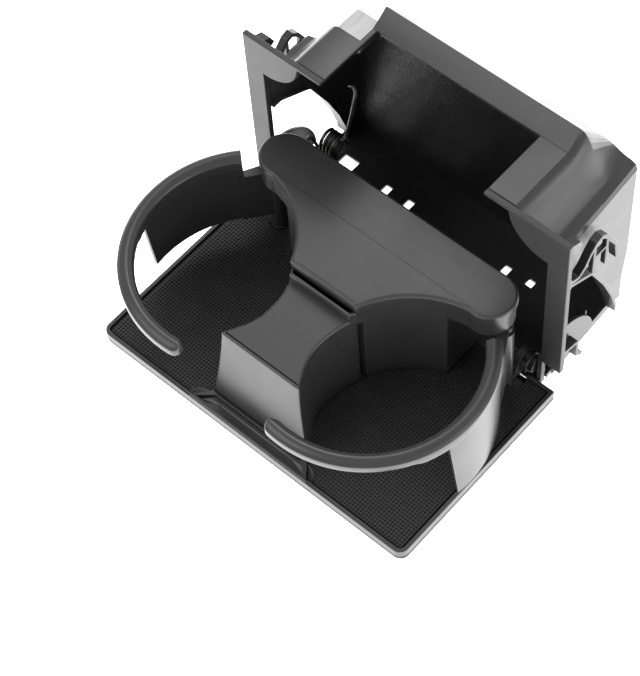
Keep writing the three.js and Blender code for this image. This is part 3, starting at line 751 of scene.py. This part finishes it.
@dataclass
class WaffleMat:
    """A rubber mat: a thin slab with a square lattice of ribs over it."""

    side: Side
    pitch: float = 1.65
    foot: float = 0.5
    crest: float = 0.26
    rise: float = 0.62
    margin: float = 0.35

    def runs(self, edges: Array, axis: int) -> Array:
        """Rib runs as rows of (line, start, end), where lines of constant axis cross the plan."""
        low, high = edges[..., axis].min(), edges[..., axis].max()
        lines = np.arange(np.ceil(low / self.pitch) + 0.5, high / self.pitch) * self.pitch
        found = []
        for line in lines:
            a, b = edges[:, 0], edges[:, 1]
            hit = (a[:, axis] - line) * (b[:, axis] - line) < 0
            a, b = a[hit], b[hit]
            share = (line - a[:, axis]) / (b[:, axis] - a[:, axis])
            places = np.sort(a[:, 1 - axis] + share * (b[:, 1 - axis] - a[:, 1 - axis]))
            pairs = places[: len(places) // 2 * 2].reshape(-1, 2)
            pairs = pairs + np.array([self.margin, -self.margin])
            pairs = pairs[pairs[:, 1] - pairs[:, 0] > self.pitch]
            found.append(np.column_stack([np.full(len(pairs), line), pairs]))
        return np.concatenate(found)

    def ribs(self, runs: Array, axis: int, base: float, drop: float) -> Array:
        """Points of trapezium bars (bar, end, corner, 3) along the runs."""
        across = np.array([-self.foot, self.foot, self.crest, -self.crest])
        up = base + np.array([-0.2, -0.2, self.rise - drop, self.rise - drop])
        points = np.zeros((len(runs), 2, 4, 3))
        points[..., axis] = runs[:, 0, None, None] + across
        points[..., 1 - axis] = runs[:, 1:, None]
        points[..., 2] = up
        return points

    def build(self, frame: dict, palette: Palette) -> list[bpy.types.Object]:
        """Builds the slab from its node and the lattice of ribs on it.

        Args:
            frame: the loaded frame.
            palette: the finishes.

        Returns:
            The slab and the lattice.
        """
        node = f"rubber_mat_{self.side.word}"
        low, high = (np.array(corner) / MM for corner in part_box(node))
        edges = plan_edges(frame["nodes"][node].data, (low[2] + high[2]) / 2)
        bars = np.concatenate(
            [self.ribs(self.runs(edges, axis), axis, high[2], 0.03 * axis) for axis in (0, 1)]
        )
        corner = np.array(
            [[0, 1, 2, 3], [4, 7, 6, 5], [0, 4, 5, 1], [1, 5, 6, 2], [2, 6, 7, 3], [3, 7, 4, 0]]
        )
        faces = (np.arange(len(bars))[:, None, None] * 8 + corner).reshape(-1, 4)
        shape = Shape().add(bars, faces.tolist())
        lattice = shape.to_object(f"mat_lattice_{self.side.word}", palette.get(Tone.RUBBER))
        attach(lattice, "door")
        slab = Moulding(node, "door", "rubber", Tone.RUBBER, 0.3).build(frame, palette)
        return [slab, lattice]


@dataclass
class FingerGrip:
    """The scooped, boat-shaped finger grip at the door's front edge, with three fine grooves."""

    half: float = 39.0
    front: float = -117.9
    straight: float = -115.9
    bulge: float = 7.6
    grooves: tuple[float, ...] = (-112.2, -113.5, -114.8)
    groove_half: float = 24.0
    groove_width: float = 0.5
    groove_step: float = 1.5
    groove_depth: float = 1.1
    lift: float = 8.3
    dip: float = 1.3
    fall: float = 0.42
    foot: float = 3.4

    def surface(self) -> Array:
        """A grid (u along X, v across): a bowl of smooth steps, falling forward, with cut grooves."""
        u = np.linspace(-1, 1, 241)[:, None]
        v = np.linspace(0, 1, 97)[None, :]
        rear = self.straight + self.bulge * np.sqrt(np.clip(1 - np.abs(u) ** 7, 0, 1))
        y = rear + (self.front - rear) * v
        x = u * self.half + 0 * v
        bowl = smooth_step((1 - np.abs(u)) / 0.4) * smooth_step(v / 0.34) * smooth_step((1.12 - v) / 0.3)
        edge = np.sqrt(np.clip(1 - (1 - np.minimum(v, 1 - v) / 0.07) ** 2, 0, 1))
        edge = np.where(np.minimum(v, 1 - v) < 0.07, edge, 1.0)
        z = self.lift - 0.8 * (1 - edge) - self.dip * bowl - self.fall * (rear - y)
        for index, line in enumerate(self.grooves):
            near = smooth_step((self.groove_width - np.abs(y - line)) / 0.2)
            within = smooth_step(self.groove_half + index * self.groove_step - np.abs(x))
            z = z - self.groove_depth * near * within
        return np.stack(np.broadcast_arrays(x, y, z), -1)

    def build(self, palette: Palette) -> bpy.types.Object:
        """Closes the scooped surface with a flat underside.

        Args:
            palette: the finishes.

        Returns:
            The grip, which stands for its node.
        """
        top = self.surface()
        rows, cols = top.shape[:2]
        under = top.copy()
        under[..., 2] = self.foot
        lid = grid_quads(rows, cols)
        border = np.concatenate([
            np.arange(cols), np.arange(1, rows) * cols + cols - 1,
            (rows - 1) * cols + np.arange(cols - 2, -1, -1), np.arange(rows - 2, 0, -1) * cols,
        ])
        onward = np.roll(border, -1)
        count = rows * cols
        wall = np.stack([border, onward, onward + count, border + count], -1)
        faces = np.concatenate([lid, lid[:, ::-1] + count, wall]).tolist()
        shape = Shape().add(np.concatenate([top.reshape(-1, 3), under.reshape(-1, 3)]), faces)
        made = shape.to_object("finger_grip", palette.get(Tone.DOOR))
        made.data.shade_smooth()
        made.data.set_sharp_from_angle(angle=math.radians(50))
        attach(made, "door")
        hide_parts("grip_insert")
        return made


@dataclass
class CentreTray:
    """The contoured centre moulding: lipped plate, cup walls, leaning column and the rail at its step."""

    plate_top: float = 71.0
    platform_top: float = 60.0
    foot: float = 5.8
    skirt_foot: float = 55.0
    cup_centre: tuple[float, float] = (68.0, -79.0)
    cup_radius: float = 52.0
    end_centre: tuple[float, float] = (62.0, -15.0)
    end_radius: float = 13.0
    base_half: float = 50.0
    plate_rear: float = -2.0
    step: float = -59.0
    column_front: float = -103.5
    column_lean: float = 5.5
    column_flare: float = 0.28
    column_shift: float = 5.0
    column_edge: float = 1.4
    plate_edge: float = 1.5
    rail_inset: float = 0.7
    lip: float = 0.9
    lip_depth: float = 3.8
    rail_depth: float = 3.6
    rail_top: float = 65.2

    def _cup_angle(self, y: float) -> float:
        """Angle on the cup's circle, in degrees, where it reaches a Y on the column's side."""
        return 180 - math.degrees(math.asin((y - self.cup_centre[1]) / self.cup_radius))

    @staticmethod
    def _both_sides(right: Array) -> Array:
        """A closed outline from its right half, from the middle of the front round to the rear."""
        return np.concatenate([[[0.0, right[0, 1]]], right, right[::-1] * np.array([-1.0, 1.0])])

    def plate_outline(self) -> Array:
        """Plan of the plate: step, cup arc and rounded end, where the two circles meet."""
        gap = np.subtract(self.end_centre, self.cup_centre)
        apart = float(np.hypot(*gap))
        near = (self.cup_radius**2 - self.end_radius**2 + apart**2) / (2 * apart)
        aside = math.sqrt(max(self.cup_radius**2 - near**2, 0.0))
        meet = np.array(self.cup_centre) + gap / apart * near + np.array([-gap[1], gap[0]]) / apart * aside
        on_cup = math.degrees(math.atan2(meet[1] - self.cup_centre[1], meet[0] - self.cup_centre[0]))
        on_end = math.degrees(math.atan2(meet[1] - self.end_centre[1], meet[0] - self.end_centre[0]))
        cup = arc_points(*self.cup_centre, self.cup_radius, self._cup_angle(self.step), on_cup, 60)
        end = arc_points(*self.end_centre, self.end_radius, on_end, 90, 50)
        return even_outline(self._both_sides(np.concatenate([cup, end[1:]])), 0.6, 0.7)

    def wall_outline(self) -> Array:
        """Plan of the walls below the plate, which stop short of the arms' hinges."""
        stop = 180 - math.degrees(math.acos((self.cup_centre[0] - self.base_half) / self.cup_radius))
        cup = arc_points(*self.cup_centre, self.cup_radius, self._cup_angle(self.step + 3), stop, 60)
        rear = np.array([[self.base_half, self.plate_rear]])
        return even_outline(self._both_sides(np.concatenate([cup, rear])), 0.6, 0.5)

    def column_outline(self) -> Array:
        """Plan of the column in front of the step."""
        front = self._cup_angle(self.column_front - self.column_shift)
        angles = (front, self._cup_angle(self.step + 2))
        cup = arc_points(*self.cup_centre, self.cup_radius, *angles, 60)
        return even_outline(self._both_sides(cup), 0.6, 2.0)

    def column_rings(self) -> Array:
        """Column rings that lean back and narrow as they rise, most at the front."""
        profile = [(0.5, z) for z in np.linspace(self.foot, self.platform_top - 1.5, 24)]
        edge = rounded_top(self.column_edge, self.platform_top, 0.5)
        rings = stacked_rings(self.column_outline(), profile + edge)
        depth = (self.platform_top - rings[..., 2]) / (self.platform_top - self.foot)
        ahead = smooth_step((self.column_front + 24.0 - rings[..., 1]) / 26.0)
        rings[..., 0] *= 1 + self.column_flare * depth**1.5 * ahead
        rings[..., 1] += ahead * (self.column_shift - self.column_lean * depth)
        return rings

    def rail_outline(self) -> Array:
        """Plan of the rail: a strip across the column, whose ends follow the cup arcs."""
        y = np.linspace(self.step - self.rail_depth, self.step + 1.0, 9)
        x = self.cup_centre[0] - np.sqrt(self.cup_radius**2 - (y - self.cup_centre[1]) ** 2)
        return even_outline(self._both_sides(np.stack([x, y], -1)), 0.3, 0.35)

    def build(self, palette: Palette) -> bpy.types.Object:
        """Builds the moulding from stacked rings.

        Args:
            palette: the finishes.

        Returns:
            The piece.
        """
        ledge = self.plate_top - self.lip_depth
        plate = [
            (self.lip, self.skirt_foot), (self.lip, ledge - 0.3), (self.lip - 0.5, ledge),
            (0.0, ledge + 0.1), *rounded_top(self.plate_edge, self.plate_top),
        ]
        wall = [(self.lip + 0.03, z) for z in np.linspace(self.foot, ledge - 1.0, 6)]
        rail = [
            (self.rail_inset, self.platform_top - 1.0), (self.rail_inset, self.rail_top - self.column_edge),
            *rounded_top(self.column_edge, self.rail_top, self.rail_inset),
        ]
        shape = Shape().add_tube(stacked_rings(self.plate_outline(), plate), folded=True)
        shape.add_tube(stacked_rings(self.wall_outline(), wall), folded=True)
        shape.add_tube(self.column_rings(), folded=True)
        shape.add_tube(stacked_rings(self.rail_outline(), rail), folded=True)
        made = shape.to_object("cup_tray_moulded", palette.get(Tone.TRAY))
        made.data.shade_smooth()
        made.data.set_sharp_from_angle(angle=math.radians(38))
        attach(made, "door")
        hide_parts("cup_tray")
        return made


@dataclass
class Door:
    """The fold-down door: cover, liner, mats, grip, tray, screws and the arms' pins."""

    def build(self, frame: dict, palette: Palette) -> list[bpy.types.Object]:
        """Builds every piece that rides on the door.

        Args:
            frame: the loaded frame.
            palette: the finishes.

        Returns:
            The pieces.
        """
        made = [
            Moulding("door_skin", "door", "smooth_plastic", Tone.DOOR, 0.8).build(frame, palette),
            Moulding("door_panel", "door", "smooth_plastic", Tone.DOOR, 0.4).build(frame, palette),
            FingerGrip().build(palette),
            CentreTray().build(palette),
        ]
        for side in Side:
            made += WaffleMat(side).build(frame, palette)
            for stem in ("arm_pin", "arm_spring"):
                wire = Moulding(f"{stem}_{side.word}", "door", "steel", Tone.STEEL, 0.1)
                made.append(wire.build(frame, palette))
        for number in (1, 2):
            screw = Moulding(f"tray_screw_{number}", "door", "steel", Tone.STEEL, 0.15)
            made.append(screw.build(frame, palette))
        return made


# ------------------------------------------------------------------ arms


@dataclass
class SwingArm:
    """A curved arm that closes the ring round one cup: rim, wall, hinge barrel and web."""

    side: Side
    centre: tuple[float, float] = (35.5, -69.5)
    inner: float = 53.0
    outer: float = 60.8
    top: float = 66.4
    depth: float = 7.6
    rear_angle: float = 44.0
    tip_angle: float = -96.0
    relief: float = 1.8
    relief_end: float = -30.0
    dome_rise: float = 1.7
    rim_foot: float = 0.6
    rim_inner: float = 2.2
    wall_foot: float = 11.5
    wall_thick: float = 2.0
    wall_end: float = -8.0
    wall_slant: float = 5.0
    pivot: tuple[float, float] = (71.0, -15.0)
    barrel: float = 4.6
    bore: float = 2.3
    pivot_top: float = 50.0
    pivot_foot: float = 8.7
    web_top: float = 54.2
    left_rise: float = 8.0

    @property
    def rise(self) -> float:
        """How far the whole arm sits above the right one."""
        return self.left_rise if self.side is Side.LEFT else 0.0

    def rim_rings(self) -> Array:
        """Rounded sections round the ring; past the tip angle they narrow as a half circle."""
        half = (self.outer - self.inner) / 2
        middle = (self.outer + self.inner) / 2
        cap = math.degrees(half / middle)
        body = np.linspace(self.rear_angle, self.tip_angle, 150)
        nose = self.tip_angle - cap * np.sin(np.linspace(0, np.pi / 2, 16))[1:]
        angles = np.concatenate([body, nose])
        past = np.clip((self.tip_angle - angles) / cap, 0, 1)
        width = np.sqrt(np.clip(1 - past**2, 0.0004, 1))
        section = self.rim_section(half)
        lifted = smooth_step((self.relief_end + 5 - angles) / 5) * self.relief
        share = (self.top - section[:, 1]) / self.depth
        radius = middle + section[None, :, 0] * width[:, None]
        height = section[None, :, 1] + lifted[:, None] * np.clip(share * 2 - 1, 0, 1)[None, :]
        turn = np.radians(angles)[:, None]
        return np.stack(
            [self.centre[0] + radius * np.cos(turn), self.centre[1] + radius * np.sin(turn), height], -1
        )

    def rim_section(self, half: float) -> Array:
        """The rim, anticlockwise: an upright outer face and a sine dome that falls to a round inner edge."""
        low, high = self.top - self.depth, self.top
        edge = high - self.dome_rise
        foot, inner = self.rim_foot, self.rim_inner
        share = np.linspace(0, 1, 15)[1:-1]
        across = half - 0.9 - share * (2 * half - 3.0)
        dome = np.stack([across, edge + 0.25 + 1.45 * np.sin(np.pi * (share * 0.62 + 0.12))], -1)
        return np.concatenate([
            arc_points(half - foot, low + foot, foot, -90, 0, 4),
            arc_points(half - 0.8, edge - 0.5, 0.8, 0, 65, 5),
            dome,
            arc_points(-half + inner, high - 2.9, inner, 100, 180, 8),
            arc_points(-half + foot, low + foot, foot, 180, 270, 4),
        ])

    def wall_rings(self) -> Array:
        """Sections of the wall under the rim; its free end leans forward as it rises."""
        high = self.top - self.depth + 1.2
        share = np.linspace(0, 1, 60)[:, None]
        heights = np.array([self.wall_foot, high, high, self.wall_foot])
        climb = (heights - self.wall_foot) / (high - self.wall_foot)
        radii = np.array([self.outer - 0.4, self.outer - 0.4, self.outer - self.wall_thick,
                          self.outer - self.wall_thick])
        ends = self.wall_end - self.wall_slant * climb
        turn = np.radians(self.rear_angle + (ends[None, :] - self.rear_angle) * share)
        return np.stack(
            np.broadcast_arrays(
                self.centre[0] + radii * np.cos(turn), self.centre[1] + radii * np.sin(turn), heights[None, :]
            ),
            -1,
        )

    def web_outline(self) -> Array:
        """Plan of the web between the barrel and the wall."""
        turn = math.radians(self.rear_angle - 3)
        x = self.centre[0] + (self.outer - 1.2) * math.cos(turn)
        y = self.centre[1] + (self.outer - 1.2) * math.sin(turn)
        px, py = self.pivot
        return np.array([[px - 2.6, py - 3.0], [x - 1.6, y - 1], [x + 1, y + 1.4], [px + 3.4, py - 1]])

    def build(self, palette: Palette) -> bpy.types.Object:
        """Builds the arm as one piece that stands for its node.

        Args:
            palette: the finishes.

        Returns:
            The arm.
        """
        foot = self.pivot_foot - self.rise
        high = self.pivot_top - self.rise
        ring = np.array([[self.bore, foot], [self.barrel, foot], [self.barrel, high], [self.bore, high]])
        shape = Shape().add_tube(self.rim_rings()).add_tube(self.wall_rings())
        shape.add_lathe(ring, self.pivot)
        shape.add_prism(self.web_outline(), max(self.wall_foot, foot) + 0.5, self.web_top - self.rise)
        shape.points = [points + np.array([0.0, 0.0, self.rise]) for points in shape.points]
        made = shape.to_object(f"{self.side.word}_arm_moulded", palette.get(Tone.ARM), self.side is Side.LEFT)
        soften(made, 0.45, 50)
        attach(made, f"{self.side.word}_arm")
        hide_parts(f"{self.side.word}_arm")
        return made


def smooth_step(value: Array) -> Array:
    """3t2 - 2t3 of a value held between 0 and 1."""
    held = np.clip(value, 0, 1)
    return held * held * (3 - 2 * held)


# ------------------------------------------------------------------ studio


@dataclass(frozen=True)
class Softbox:
    """A square area light aimed at the insert."""

    name: str
    place: tuple[float, float, float]
    size: float
    power: float

    def build(self, target: Vector) -> bpy.types.Object:
        """Makes the light and turns it to the target."""
        light = bpy.data.lights.new(self.name, "AREA")
        light.shape = "SQUARE"
        light.size = self.size
        light.energy = self.power
        made = bpy.data.objects.new(self.name, light)
        made.location = self.place
        made.rotation_euler = (target - made.location).to_track_quat("-Z", "Y").to_euler()
        bpy.context.scene.collection.objects.link(made)
        return made


@dataclass
class Studio:
    """Floor, lights and camera."""

    camera_place: tuple[float, float, float] = (0.3864, -0.4390, 0.8930)
    azimuth: float = 45.84
    elevation: float = 58.02
    roll: float = -5.396
    lens: float = 115.51
    target: tuple[float, float, float] = (0.0, -0.03, 0.05)
    lamps: tuple[Softbox, ...] = (
        Softbox("key_softbox", (-0.7, 1.0, 1.4), 0.7, 7.0),
        Softbox("side_softbox", (1.5, 0.3, 0.6), 0.8, 8.0),
        Softbox("front_softbox", (-0.65, -0.75, 1.4), 0.9, 7.0),
    )
    world_strength: float = 0.92
    floor_reach: float = 4000.0
    floor_height: float = -0.05

    def build(self) -> None:
        """Builds the floor, the lights, the pale surround and the camera."""
        self._floor()
        for lamp in self.lamps:
            lamp.build(Vector(self.target))
        world = bpy.data.worlds.new("pale_surround")
        world.use_nodes = True
        back = world.node_tree.nodes["Background"]
        back.inputs["Color"].default_value = (1.0, 1.0, 1.0, 1.0)
        back.inputs["Strength"].default_value = self.world_strength
        bpy.context.scene.world = world
        bpy.context.scene.view_settings.view_transform = "Standard"
        self._camera()

    def _floor(self) -> None:
        """A wide pale sheet just under the insert."""
        line = np.linspace(-self.floor_reach, self.floor_reach, 9)
        u, v = np.meshgrid(line, line, indexing="ij")
        points = np.stack([u, v, np.full_like(u, self.floor_height)], -1)
        shape = Shape().add(points, grid_quads(9, 9).tolist())
        floor = shape.to_object("studio_floor", StudioPaper().build())

    def _camera(self) -> None:
        """A long lens, set by its azimuth, elevation and roll."""
        a, e, r = (math.radians(x) for x in (self.azimuth, self.elevation, self.roll))
        forward = Vector((-math.sin(a) * math.cos(e), math.cos(a) * math.cos(e), -math.sin(e)))
        level = Vector((math.cos(a), math.sin(a), 0.0))
        upright = level.cross(forward)
        right = level * math.cos(r) + upright * math.sin(r)
        upward = upright * math.cos(r) - level * math.sin(r)
        turned = Matrix((right, upward, -forward)).transposed().to_4x4()
        data = bpy.data.cameras.new("camera")
        data.sensor_width = 36.0
        data.lens = self.lens
        data.clip_start, data.clip_end = 0.01, 20.0
        camera = bpy.data.objects.new("camera", data)
        camera.matrix_world = Matrix.Translation(self.camera_place) @ turned
        bpy.context.scene.collection.objects.link(camera)
        bpy.context.scene.camera = camera


def main() -> None:
    """Builds the insert round the frame, then the studio."""
    logging.basicConfig(level=logging.INFO, format="%(name)s %(message)s")
    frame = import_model()
    palette = Palette()
    pieces = Housing().build(frame, palette)
    pieces.append(PopUpSpring().build(palette))
    pieces += Door().build(frame, palette)
    pieces += [SwingArm(side).build(palette) for side in Side]
    for piece in pieces:
        LOG.info("%s: %d faces", piece.name, len(piece.data.polygons))
    Studio().build()


if __name__ == "__main__":
    main()
